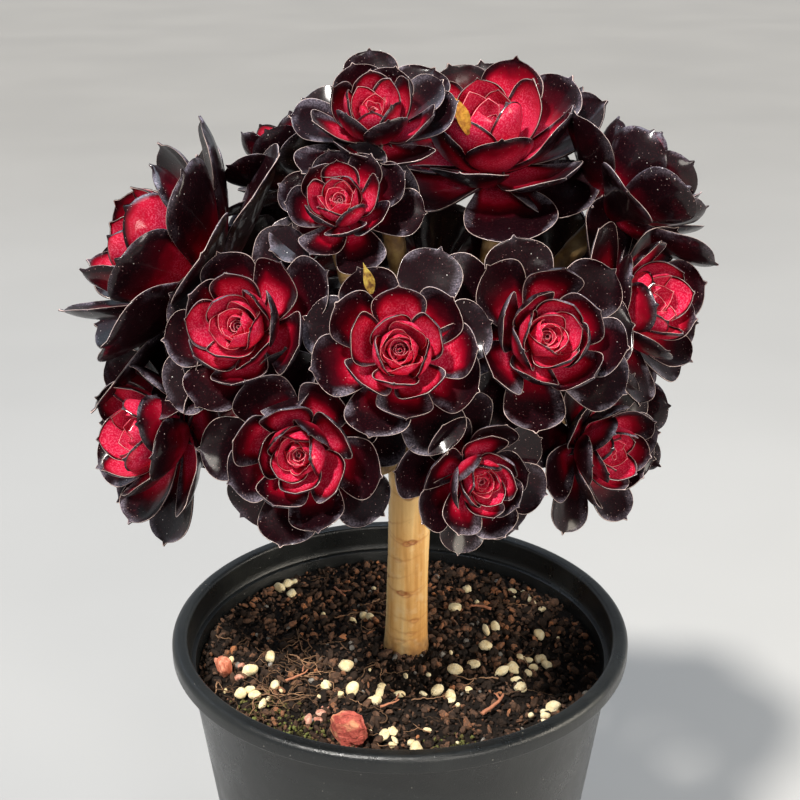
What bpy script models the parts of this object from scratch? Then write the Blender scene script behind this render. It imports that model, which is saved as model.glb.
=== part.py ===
"""A black rose aeonium grown as a small standard tree in a round nursery pot.

Metres, +Z up. The origin is the centre of the pot's flat base.
The pot, the soil, the woody stem, each branch and each leaf rosette is its own closed solid.
"""
import math
import random

import bmesh
import bpy
from mathutils import Matrix, Vector

GAP = 0.0003  # clearance between neighbouring solids

# pot
POT_HEIGHT = 0.216
RIM_RADIUS = 0.110
RIM_WIDTH = 0.0075
RIM_DEPTH = 0.0082
BODY_TOP_RADIUS = 0.1030
BASE_RADIUS = 0.0760
WALL = 0.0030
BASE_THICKNESS = 0.0030
LEDGE_BELOW_RIM = 0.0140
POT_STEPS = 72
DRAIN_SLOTS = 8
DRAIN_SLOT_SIZE = (0.016, 0.014, 0.010)  # radial, across, up

# soil
SOIL_BELOW_RIM = 0.0211
SOIL_MOUND = 0.0065
MOUND_RADIUS = 0.042
SOIL_SOCKET_DEPTH = 0.045

# woody stem
STEM_RADIUS = 0.0100
STEM_FLARE = 0.0014
STEM_OFFSET = 0.0027  # the stem stands a little to the right of the pot's axis at the soil
FORK_OFFSET = 0.0050  # and leans a little further right by the fork
FORK_ABOVE_RIM = 0.104
FORK_RADIUS = 0.0180
FORK_HEIGHT = 0.0165
STEM_STEPS = 24

# branches
BRANCH_RADIUS = 0.0038
BRANCH_NECK_RADIUS = 0.0050
BRANCH_SIDES = 10
BRANCH_STEPS = 9
RING_SOUTH, RING_EQUATOR, RING_NORTH, RING_POLE = -25, 12, 48, 90  # branch roots on the fork

# Each rosette: azimuth, elevation and reach of its middle, seen from the pot's axis at the fork,
# azimuth and elevation of the way it faces, its radius, and its branch root's ring and azimuth.
# Angles are in degrees and lengths in millimetres.
ROSETTES = [
    (-179, 38, 133, -170, 35, 61, RING_NORTH, 180),
    (-118, 81, 144, -95, 53, 33, RING_POLE, 0),
    (-115, 64, 126, -106, 42, 27, RING_NORTH, -118),
    (24, 72, 136, -112, 64, 50, RING_NORTH, 40),
    (4, 46, 151, 20, 40, 42, RING_NORTH, -8),
    (-131, 36, 117, -112, 28, 35, RING_EQUATOR, -134),
    (-90, 35, 118, -90, 27, 33, RING_EQUATOR, -92),
    (-54, 35, 116, -72, 24, 37, RING_EQUATOR, -54),
    (-13, 31, 124, -40, 20, 40, RING_EQUATOR, -16),
    (-160, 6, 115, -142, 10, 42, RING_SOUTH, -160),
    (-112, 14, 106, -98, 12, 35, RING_SOUTH, -114),
    (-73, 9, 106, -70, 5, 28, RING_SOUTH, -72),
    (-34, 6, 103, -46, 5, 32, RING_SOUTH, -30),
    (146, 64, 132, 150, 56, 38, RING_NORTH, 140),
    (92, 58, 132, 88, 54, 42, RING_NORTH, 90),
    (38, 27, 122, 38, 25, 43, RING_EQUATOR, 40),
    (80, 24, 119, 80, 23, 40, RING_EQUATOR, 82),
    (126, 28, 121, 126, 25, 43, RING_EQUATOR, 126),
    (14, 0, 110, 16, 5, 36, RING_SOUTH, 16),
    (58, -2, 104, 58, 3, 38, RING_SOUTH, 60),
    (102, -1, 106, 102, 3, 38, RING_SOUTH, 104),
    (149, -2, 108, 150, 5, 38, RING_SOUTH, 150),
    (175, 13, 108, 176, 9, 36, RING_EQUATOR, 176),
    (12, 24, 114, 10, 21, 33, RING_EQUATOR, 12),
]
ROSETTE_BASE = 0.46  # from a rosette's middle back to its branch, in radii
ROSETTE_SEGMENTS = 28
ROSETTE_RINGS = 11
# A rosette's reach from its middle at each angle off the way it faces, in degrees and radii.
ROSETTE_PROFILE = [
    (0, 0.46),
    (22, 0.50),
    (42, 0.70),
    (62, 0.92),
    (80, 1.00),
    (98, 0.90),
    (116, 0.66),
    (140, 0.52),
    (180, 0.50),
]
PETALS = 7
PETAL_DEPTH = 0.10

# loose pieces on the soil: radius, distance from the pot's axis, azimuth, flatness
LAVA_ROCK = (0.0100, 0.072, -109, 0.75)
BARK_CHIP = (0.0074, 0.086, -167, 0.80)
PERLITE = [
    (0.0034, 0.047, -138, 0.8),
    (0.0032, 0.045, -104, 0.8),
    (0.0036, 0.065, -29, 0.8),
    (0.0034, 0.046, -59, 0.8),
    (0.0034, 0.069, -5, 0.8),
    (0.0034, 0.066, -93, 0.8),
    (0.0030, 0.072, 60, 0.8),
]


def clear_scene():
    for ob in list(bpy.data.objects):
        bpy.data.objects.remove(ob, do_unlink=True)


def material(name, colour, roughness):
    mat = bpy.data.materials.new(name)
    mat.use_nodes = True
    shader = mat.node_tree.nodes["Principled BSDF"]
    shader.inputs["Base Color"].default_value = (*colour, 1.0)
    shader.inputs["Roughness"].default_value = roughness
    shader.inputs["Metallic"].default_value = 0.0
    return mat


def add_object(name, bm, mat):
    mesh = bpy.data.meshes.new(name)
    bm.to_mesh(mesh)
    bm.free()
    mesh.materials.append(mat)
    ob = bpy.data.objects.new(name, mesh)
    bpy.context.scene.collection.objects.link(ob)
    return ob


def lathe(name, profile, steps, mat):
    """Spin a profile of (radius, height) points, both ends on the axis, into a closed solid."""
    bm = bmesh.new()
    points = [bm.verts.new((radius, 0.0, height)) for radius, height in profile]
    edges = [bm.edges.new(pair) for pair in zip(points, points[1:])]
    bmesh.ops.spin(
        bm,
        geom=points + edges,
        cent=(0, 0, 0),
        axis=(0, 0, 1),
        angle=math.tau,
        steps=steps,
        use_merge=True,
    )
    bmesh.ops.remove_doubles(bm, verts=bm.verts, dist=1e-6)
    bmesh.ops.recalc_face_normals(bm, faces=bm.faces)
    return add_object(name, bm, mat)


def direction(azimuth, elevation):
    """The unit vector for an azimuth and an elevation in degrees."""
    az, el = math.radians(azimuth), math.radians(elevation)
    return Vector((math.cos(el) * math.cos(az), math.cos(el) * math.sin(az), math.sin(el)))


def interpolate(table, x):
    """Read a table of (x, y) rows, with a smooth step between them."""
    for (x0, y0), (x1, y1) in zip(table, table[1:]):
        if x <= x1:
            t = (x - x0) / (x1 - x0)
            return y0 + (y1 - y0) * t * t * (3 - 2 * t)
    return table[-1][1]


def wall_radius(z):
    """The outer radius of the tapered pot wall at a height."""
    top = POT_HEIGHT - RIM_DEPTH
    return BASE_RADIUS + (BODY_TOP_RADIUS - BASE_RADIUS) * z / top


def cut_with(ob, cutter):
    """Cut one object with another, which stays as a hidden guide."""
    cutter.hide_render = True
    cutter.display_type = "WIRE"
    boolean = ob.modifiers.new("cut", "BOOLEAN")
    boolean.operation = "DIFFERENCE"
    boolean.object = cutter


def make_pot(mat):
    top = POT_HEIGHT
    lip = top - RIM_DEPTH
    ledge = top - LEDGE_BELOW_RIM
    inner = RIM_RADIUS - RIM_WIDTH
    below_ledge = wall_radius(ledge) - WALL
    profile = [
        (0.0, 0.0),
        (BASE_RADIUS - 0.0015, 0.0),
        (BASE_RADIUS, 0.0015),
        (BODY_TOP_RADIUS, lip),
        (RIM_RADIUS - 0.0012, lip),
        (RIM_RADIUS, lip + 0.0012),
        (RIM_RADIUS, top - 0.0028),
        (RIM_RADIUS - 0.0009, top - 0.0009),
        (RIM_RADIUS - 0.0028, top),
        (inner + 0.0018, top),
        (inner + 0.0005, top - 0.0006),
        (inner, top - 0.0020),
        (inner - 0.0008, ledge + 0.0010),
        (inner - 0.0016, ledge),
        (below_ledge, ledge - 0.0006),
        (wall_radius(BASE_THICKNESS) - WALL, BASE_THICKNESS),
        (0.0, BASE_THICKNESS),
    ]
    pot = lathe("pot", profile, POT_STEPS, mat)
    slots = bmesh.new()
    for k in range(DRAIN_SLOTS):
        turn = Matrix.Rotation(math.tau * (k + 0.5) / DRAIN_SLOTS, 4, "Z")
        place = Matrix.Translation((BASE_RADIUS - 0.001, 0.0, DRAIN_SLOT_SIZE[2] / 2 - 0.002))
        size = Matrix.Diagonal((*DRAIN_SLOT_SIZE, 1.0))
        bmesh.ops.create_cube(slots, size=1.0, matrix=turn @ place @ size)
    cut_with(pot, add_object("drain_slot_cutter", slots, mat))


def soil_height(radius, azimuth):
    """The height of the soil's top: a low mound at the stem and slow waves around it."""
    mound = SOIL_MOUND * math.exp(-((radius / MOUND_RADIUS) ** 2))
    waves = 0.0008 * math.sin(3 * azimuth + 0.8) * math.sin(radius / 0.016)
    return POT_HEIGHT - SOIL_BELOW_RIM + mound + waves


def stem_offset(z):
    """How far right of the pot's axis the stem's middle is at a height."""
    soil_top = POT_HEIGHT - SOIL_BELOW_RIM
    fork_foot = POT_HEIGHT + FORK_ABOVE_RIM - 0.019
    t = min(1.0, (z - soil_top) / (fork_foot - soil_top))
    return STEM_OFFSET + (FORK_OFFSET - STEM_OFFSET) * t


def make_soil(mat):
    edge = POT_HEIGHT - SOIL_BELOW_RIM
    clear = WALL + GAP
    floor = BASE_THICKNESS + GAP
    rings = [0.0, 0.018, 0.036, 0.054, 0.072, 0.086, wall_radius(edge) - clear]
    profile = [(0.0, floor), (wall_radius(floor) - clear, floor)]
    profile += [(radius, edge) for radius in reversed(rings)]
    soil = lathe("soil", profile, 48, mat)
    for vert in soil.data.vertices:
        if vert.co.z > edge - 0.001:
            radius = math.hypot(vert.co.x, vert.co.y)
            fade = min(1.0, (rings[-1] - radius) / 0.008)
            rise = soil_height(radius, math.atan2(vert.co.y, vert.co.x)) - edge
            vert.co.z = edge + rise * fade
    around_stem = STEM_RADIUS + STEM_FLARE + 3 * GAP
    socket = [
        (0.0, POT_HEIGHT),
        (around_stem, POT_HEIGHT),
        (around_stem, edge - SOIL_SOCKET_DEPTH),
        (0.0, edge - SOIL_SOCKET_DEPTH),
    ]
    cutter = lathe("stem_socket_cutter", socket, STEM_STEPS, mat)
    for vert in cutter.data.vertices:
        vert.co.x += stem_offset(edge - SOIL_SOCKET_DEPTH / 2)
    cut_with(soil, cutter)


def make_stem(mat):
    """The leaning trunk, wider at the soil, and the swollen fork that the branches leave."""
    soil_top = POT_HEIGHT - SOIL_BELOW_RIM
    fork = POT_HEIGHT + FORK_ABOVE_RIM
    foot = soil_top - SOIL_SOCKET_DEPTH + GAP
    flare = STEM_RADIUS + STEM_FLARE
    profile = [
        (0.0, foot),
        (flare - 0.002, foot),
        (flare, foot + 0.003),
        (flare, soil_top + 0.004),
        (STEM_RADIUS + 0.0004, soil_top + 0.016),
        (STEM_RADIUS, soil_top + 0.034),
        (STEM_RADIUS - 0.0003, fork - 0.030),
        (STEM_RADIUS + 0.0012, fork - 0.019),
    ]
    for angle in (-50, -34, -17, 0, 17, 34, 51, 68, 82):
        lift = math.radians(angle)
        profile.append((FORK_RADIUS * math.cos(lift), fork + FORK_HEIGHT * math.sin(lift)))
    profile.append((0.0, fork + FORK_HEIGHT))
    stem = lathe("main_stem", profile, STEM_STEPS, mat)
    for vert in stem.data.vertices:
        vert.co.x += stem_offset(vert.co.z)


def bezier(a, b, c, d, t):
    s = 1.0 - t
    return a * s**3 + b * 3 * s * s * t + c * 3 * s * t * t + d * t**3


def make_branch(name, start, start_way, end, end_way, mat):
    """A tapered woody tube that leaves the fork along one way and meets its rosette on another."""
    pull = (end - start).length * 0.38
    controls = (start, start + start_way * pull, end - end_way * pull, end)
    points = [bezier(*controls, k / BRANCH_STEPS) for k in range(BRANCH_STEPS + 1)]
    across = start_way.orthogonal().normalized()
    bm = bmesh.new()
    rings = []
    for k, point in enumerate(points):
        if k == 0:
            way = start_way
        elif k == BRANCH_STEPS:
            way = end_way
        else:
            way = (points[k + 1] - points[k - 1]).normalized()
        across = (across - way * across.dot(way)).normalized()
        up = way.cross(across)
        t = k / BRANCH_STEPS
        radius = BRANCH_RADIUS + (BRANCH_NECK_RADIUS - BRANCH_RADIUS) * t * t
        ring = []
        for j in range(BRANCH_SIDES):
            turn = math.tau * j / BRANCH_SIDES
            offset = across * math.cos(turn) + up * math.sin(turn)
            ring.append(bm.verts.new(point + offset * radius))
        rings.append(ring)
    for low, high in zip(rings, rings[1:]):
        for j in range(BRANCH_SIDES):
            i = (j + 1) % BRANCH_SIDES
            bm.faces.new((low[j], low[i], high[i], high[j]))
    bm.faces.new(reversed(rings[0]))
    bm.faces.new(rings[-1])
    add_object(name, bm, mat)


def make_rosette(name, middle, way, radius, walls, mat):
    """A cup of leaves as one closed solid, kept inside the walls given as (point, normal)."""
    bm = bmesh.new()
    bmesh.ops.create_uvsphere(
        bm, u_segments=ROSETTE_SEGMENTS, v_segments=ROSETTE_RINGS, radius=1.0
    )
    turn = way.to_track_quat("Z", "Y")
    back = ROSETTE_BASE * radius
    for vert in bm.verts:
        local = vert.co.normalized()
        off_axis = math.degrees(math.acos(max(-1.0, min(1.0, local.z))))
        around = math.atan2(local.y, local.x)
        tier = 0.5 if off_axis < 70 else 0.0
        lobe = abs(math.cos(PETALS * around / 2 + math.pi * tier))
        depth = PETAL_DEPTH * math.sin(math.radians(off_axis))
        reach = radius * interpolate(ROSETTE_PROFILE, off_axis) * (1 - depth * (1 - lobe))
        if local.z < 0:
            reach = min(reach, back / -local.z)
        ray = turn @ local
        for point, normal in walls:
            toward = ray.dot(normal)
            if toward > 1e-6:
                reach = min(reach, (point - middle).dot(normal) / toward)
        vert.co = middle + ray * reach
    add_object(name, bm, mat)


def make_crown(wood, leaf):
    crown = Vector((0.0, 0.0, POT_HEIGHT + FORK_ABOVE_RIM))
    fork = crown + Vector((FORK_OFFSET, 0.0, 0.0))
    places = []
    for az, el, reach, face_az, face_el, radius, ring, root_az in ROSETTES:
        middle = crown + direction(az, el) * reach / 1000
        places.append((middle, direction(face_az, face_el), radius / 1000, direction(root_az, ring)))
    for k, (middle, way, radius, root_way) in enumerate(places, 1):
        walls = []
        for other, _, other_radius, _ in places:
            span = (other - middle).length
            if other is middle or span > radius + other_radius + 0.01:
                continue
            normal = (other - middle) / span
            share = span * radius / (radius + other_radius)
            walls.append((middle + normal * (share - GAP / 2), normal))
        make_rosette(f"rosette_{k:02d}", middle, way, radius, walls, leaf)
        # the root's flat end just clears the fork, which is a slightly flattened ball
        swell = Vector((root_way.x / FORK_RADIUS, root_way.y / FORK_RADIUS, root_way.z / FORK_HEIGHT))
        root = fork + root_way * (1 / swell.length + 2 * GAP)
        tip = middle - way * (ROSETTE_BASE * radius + GAP)
        make_branch(f"branch_{k:02d}", root, root_way, tip, way, wood)


def make_grain(name, grain, seed, mat):
    """A rough lump lying on the soil."""
    radius, distance, azimuth, flat = grain
    draw = random.Random(seed)
    bm = bmesh.new()
    bmesh.ops.create_icosphere(bm, subdivisions=2, radius=1.0)
    stretch = draw.uniform(0.8, 1.0)
    for vert in bm.verts:
        swell = radius * draw.uniform(0.88, 1.0)
        vert.co = Vector((vert.co.x * swell, vert.co.y * swell * stretch, vert.co.z * swell * flat))
    turn = math.radians(azimuth)
    bmesh.ops.rotate(bm, verts=bm.verts, matrix=Matrix.Rotation(turn, 3, "Z"))
    x, y = distance * math.cos(turn), distance * math.sin(turn)
    lowest = min(vert.co.z for vert in bm.verts)
    around = [soil_height(distance + radius * s, turn) for s in (-1, -0.5, 0, 0.5, 1)]
    rest = max(around) + 0.0006 - lowest
    bmesh.ops.translate(bm, verts=bm.verts, vec=(x, y, rest))
    add_object(name, bm, mat)


def main():
    clear_scene()
    make_pot(material("black_plastic", (0.018, 0.020, 0.022), 0.38))
    make_soil(material("potting_soil", (0.045, 0.026, 0.016), 0.95))
    wood = material("pale_bark", (0.60, 0.42, 0.24), 0.7)
    make_stem(wood)
    make_crown(
        material("green_wood", (0.22, 0.13, 0.06), 0.65),
        material("red_leaf", (0.20, 0.010, 0.022), 0.35),
    )
    make_grain("lava_rock", LAVA_ROCK, 1, material("lava", (0.45, 0.12, 0.08), 0.9))
    make_grain("bark_chip", BARK_CHIP, 2, material("bark", (0.42, 0.14, 0.06), 0.85))
    white = material("perlite", (0.82, 0.78, 0.68), 0.85)
    for k, grain in enumerate(PERLITE, 1):
        make_grain(f"perlite_{k:02d}", grain, 10 + k, white)


main()
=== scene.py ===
"""Looks of the potted black rose aeonium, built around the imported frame.

Metres, +Z up, the front of the plant towards -Y.
Read from the frame: the rosettes' middles, facings and radii, the branches' ends, the
stem's outline, the stones' boxes, the pot's box and foot, and the soil's height and reach.
The finer measures, of the leaves, the pot's rim and what lies on the soil, are set here.
"""
import math

import bmesh
import bpy
import numpy as np
from mathutils import Matrix, Vector, noise


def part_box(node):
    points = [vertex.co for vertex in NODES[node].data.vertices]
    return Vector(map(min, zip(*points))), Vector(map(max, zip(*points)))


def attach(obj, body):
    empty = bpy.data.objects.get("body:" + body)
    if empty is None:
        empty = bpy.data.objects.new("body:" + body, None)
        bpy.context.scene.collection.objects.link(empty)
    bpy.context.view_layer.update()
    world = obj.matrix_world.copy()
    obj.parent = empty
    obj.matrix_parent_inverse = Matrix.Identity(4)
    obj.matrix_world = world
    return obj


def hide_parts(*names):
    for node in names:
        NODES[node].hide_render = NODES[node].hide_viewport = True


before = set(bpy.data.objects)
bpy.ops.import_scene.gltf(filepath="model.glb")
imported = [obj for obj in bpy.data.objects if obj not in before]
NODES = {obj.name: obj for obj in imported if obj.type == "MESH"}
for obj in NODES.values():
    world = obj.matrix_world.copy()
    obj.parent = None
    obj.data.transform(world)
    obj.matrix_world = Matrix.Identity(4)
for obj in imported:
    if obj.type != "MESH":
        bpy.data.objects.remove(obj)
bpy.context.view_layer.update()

GOLDEN_ANGLE = math.radians(137.508)
ROSETTE_NAMES = sorted(name for name in NODES if name.startswith("rosette_"))
PERLITE_NAMES = sorted(name for name in NODES if name.startswith("perlite_"))
END_CORNERS = 10  # how many corners the flat end of a CAD branch has


# ---- reading the frame

def node_points(name):
    """The distinct corners of a CAD node, as an array of points."""
    mesh = NODES[name].data
    flat = np.empty(len(mesh.vertices) * 3)
    mesh.vertices.foreach_get("co", flat)
    return np.unique(np.round(flat.reshape(-1, 3), 6), axis=0)


def end_disc(points, near):
    """The flat round end of a tube that lies nearest a point: its middle, way and radius."""
    order = np.argsort(np.linalg.norm(points - near, axis=1))
    ring = points[order[:END_CORNERS]]
    middle = ring.mean(axis=0)
    way = np.linalg.svd(ring - middle)[2][2]
    if np.dot(way, near - middle) < 0:
        way = -way
    return middle, way, float(np.linalg.norm(ring - middle, axis=1).mean())


def turned_outline(name):
    """Heights of a turned CAD node's rings, their radii, and how far right their middles are."""
    points = node_points(name)
    heights = np.unique(np.round(points[:, 2], 4))
    radii, offsets = [], []
    for z in heights:
        ring = points[np.abs(points[:, 2] - z) < 1e-4]
        offsets.append((ring[:, 0].max() + ring[:, 0].min()) / 2)
        radii.append(np.hypot(ring[:, 0] - offsets[-1], ring[:, 1]).max())
    return heights, np.array(radii), np.array(offsets)


# ---- meshes

def round_turn(sides):
    """Equal angles round a circle."""
    return np.linspace(0, math.tau, sides, endpoint=False)


def polar(r, turn, z):
    """Points from radii, angles and heights, as an array with a row for each."""
    return np.stack([r * np.cos(turn), r * np.sin(turn), z], axis=-1).reshape(-1, 3)


def mesh_of(name, bm):
    """A mesh from an edit mesh, which is freed."""
    mesh = bpy.data.meshes.new(name)
    bm.to_mesh(mesh)
    bm.free()
    return mesh


def link(name, data):
    """A new object of the scene that shows a mesh, a light or a camera."""
    ob = bpy.data.objects.new(name, data)
    bpy.context.scene.collection.objects.link(ob)
    return ob


def make_object(name, verts, faces, material, values=None, smooth=True):
    """A mesh object from arrays, with named point values for its material."""
    mesh = bpy.data.meshes.new(name)
    faces = faces.tolist() if isinstance(faces, np.ndarray) else faces
    mesh.from_pydata(np.asarray(verts).tolist(), [], faces)
    mesh.materials.append(material)
    for key, data in (values or {}).items():
        layer = mesh.attributes.new(key, "FLOAT", "POINT")
        layer.data.foreach_set("value", np.asarray(data, dtype=np.float32).ravel())
    mesh.polygons.foreach_set("use_smooth", [smooth] * len(mesh.polygons))
    mesh.update()
    return link(name, mesh)


def settle(ob, slot, *nodes):
    """Make a finished piece ride on the root and hide the CAD nodes it stands for; the slot is not
    used.
    """
    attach(ob, "root")
    if nodes:
        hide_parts(*nodes)


def grid_faces(rows, columns, closed=False):
    """The quads of a grid of rows by columns, joined round the columns if closed."""
    index = np.arange(rows * columns).reshape(rows, columns)
    if closed:
        index = np.hstack([index, index[:, :1]])
    corners = (index[:-1, :-1], index[:-1, 1:], index[1:, 1:], index[1:, :-1])
    return np.stack(corners, axis=-1).reshape(-1, 4)


def capped_faces(rows, sides):
    """The faces of a closed grid of rows by sides, with a flat face over each end."""
    ends = [list(range(sides))[::-1], list(range((rows - 1) * sides, rows * sides))]
    return grid_faces(rows, sides, closed=True).tolist() + ends


def copied_faces(faces, count, size):
    """The faces of count equal meshes of size vertices each, joined into one mesh."""
    starts = (np.arange(count) * size)[:, None, None]
    return (faces[None] + starts).reshape(-1, faces.shape[1])


def frame_along(points):
    """Two sideways directions that don't twist, along a line of points."""
    ways = np.gradient(points, axis=0)
    ways /= np.linalg.norm(ways, axis=1, keepdims=True)
    side = np.cross(ways[0], (0.3, 0.2, 0.93))
    sides = []
    for way in ways:
        side = side - way * np.dot(side, way)
        side = side / np.linalg.norm(side)
        sides.append(side)
    return np.array(sides), np.cross(ways, sides)


def tube(points, radii, sides=8):
    """Vertices and faces of a closed tube along points, with a flat face over each end."""
    points, radii = np.asarray(points, float), np.asarray(radii, float)
    across, up = frame_along(points)
    turn = round_turn(sides)
    ring = np.cos(turn)[None, :, None] * across[:, None] + np.sin(turn)[None, :, None] * up[:, None]
    verts = points[:, None] + ring * radii[:, None, None]
    return verts.reshape(-1, 3), capped_faces(len(points), sides)


def make_strands(name, parts, tones, material):
    """One piece of soil litter from (vertices, faces) pairs, each with its own tone."""
    verts, faces, start = np.concatenate([part_verts for part_verts, _ in parts]), [], 0
    for part_verts, part_faces in parts:
        faces += [[start + i for i in face] for face in part_faces]
        start += len(part_verts)
    values = {"chance": np.repeat(tones, [len(part_verts) for part_verts, _ in parts])}
    settle(make_object(name, verts, faces, material, values), "soil")


def lumps(points, size, seed):
    """Smooth noise between -1 and 1 at each point, for lumps of a given size."""
    shift = Vector((seed * 7.31, seed * 3.77, seed * 1.93))
    return np.array([noise.noise(Vector(p) / size + shift) for p in points])


# ---- materials

class Shader:
    """A material's node graph, written as short calls."""

    def __init__(self, name, specular, coat=0.0, coat_roughness=0.1):
        self.material = bpy.data.materials.new(name)
        self.material.use_nodes = True
        self.tree = self.material.node_tree
        self.out = self.tree.nodes["Principled BSDF"]
        self.out.inputs["Specular IOR Level"].default_value = specular
        self.out.inputs["Coat Weight"].default_value = coat
        self.out.inputs["Coat Roughness"].default_value = coat_roughness
        self.place = self.add("ShaderNodeTexCoord").outputs["Object"]

    def add(self, kind, inputs=(), **settings):
        """A new node with its settings, and its inputs fed from (name or number, value) pairs."""
        node = self.tree.nodes.new(kind)
        for key, value in settings.items():
            setattr(node, key, value)
        for key, value in inputs:
            self.feed(node.inputs[key], value)
        return node

    def feed(self, socket, value):
        if isinstance(value, bpy.types.NodeSocket):
            self.tree.links.new(value, socket)
        else:
            socket.default_value = value

    def value(self, name):
        """A named point value of the mesh."""
        return self.add("ShaderNodeAttribute", attribute_name=name).outputs["Fac"]

    def facing_up(self):
        """How far the surface faces up: 1 where it is level, 0 where it is upright."""
        normal = self.add("ShaderNodeNewGeometry").outputs["Normal"]
        return self.add("ShaderNodeSeparateXYZ", [(0, normal)]).outputs["Z"]

    def math(self, operation, a, b):
        return self.add("ShaderNodeMath", [(0, a), (1, b)], operation=operation).outputs[0]

    def plus(self, a, b):
        return self.math("ADD", a, b)

    def minus(self, a, b):
        return self.math("SUBTRACT", a, b)

    def times(self, *values):
        product = values[0]
        for value in values[1:]:
            product = self.math("MULTIPLY", product, value)
        return product

    def step(self, value, low, high, low_result=0.0, high_result=1.0):
        """A smooth step from one result to another as the value goes from low to high."""
        inputs = enumerate((value, low, high, low_result, high_result))
        node = self.add("ShaderNodeMapRange", inputs, interpolation_type="SMOOTHSTEP")
        return node.outputs[0]

    def noise(self, size, detail=3.0, rough=0.55, stretch=(1, 1, 1)):
        """Noise with features of a size in metres."""
        place = self.add("ShaderNodeMapping", [("Vector", self.place), ("Scale", stretch)])
        return self.add("ShaderNodeTexNoise", [
            ("Vector", place.outputs[0]), ("Scale", 1.0 / size),
            ("Detail", detail), ("Roughness", rough),
        ]).outputs["Fac"]

    def specks(self, size, fill, share):
        """Round specks, from the cells' size, the part of a cell filled and the share of cells."""
        cells = self.add("ShaderNodeTexVoronoi", [("Vector", self.place), ("Scale", 1.0 / size)])
        spot = self.step(cells.outputs["Distance"], fill, fill * 0.6)
        split = self.add("ShaderNodeSeparateColor", [(0, cells.outputs["Color"])])
        return self.times(spot, self.math("LESS_THAN", split.outputs[0], share))

    def ramp(self, value, stops):
        """Colours by value, from (value, (red, green, blue)) stops."""
        node = self.add("ShaderNodeValToRGB", [(0, value)])
        band = node.color_ramp
        while len(band.elements) < len(stops):
            band.elements.new(1.0)
        for element, (at, colour) in zip(band.elements, stops):
            element.position = at
            element.color = (*colour, 1.0)
        return node.outputs[0]

    def mix(self, share, a, b):
        """The colour a fading into b by a share; a colour is a socket or three numbers."""
        a, b = ((*item, 1.0) if isinstance(item, tuple) else item for item in (a, b))
        node = self.add("ShaderNodeMix", [(0, share), (6, a), (7, b)], data_type="RGBA")
        return node.outputs[2]

    def finish(self, colour, roughness, bumps):
        """Connect the colour, the roughness and a chain of (height, depth in metres) bumps.

        A coat takes only the first bump, so the finer ones don't break up its gloss.
        """
        self.feed(self.out.inputs["Base Color"], colour)
        self.feed(self.out.inputs["Roughness"], roughness)
        normals = []
        for height, depth in bumps:
            inputs = [("Distance", depth), ("Height", height)]
            if normals:
                inputs.append(("Normal", normals[-1]))
            normals.append(self.add("ShaderNodeBump", inputs).outputs[0])
        self.feed(self.out.inputs["Normal"], normals[-1])
        if self.out.inputs["Coat Weight"].default_value > 0:
            self.feed(self.out.inputs["Coat Normal"], normals[0])
        return self.material


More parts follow.
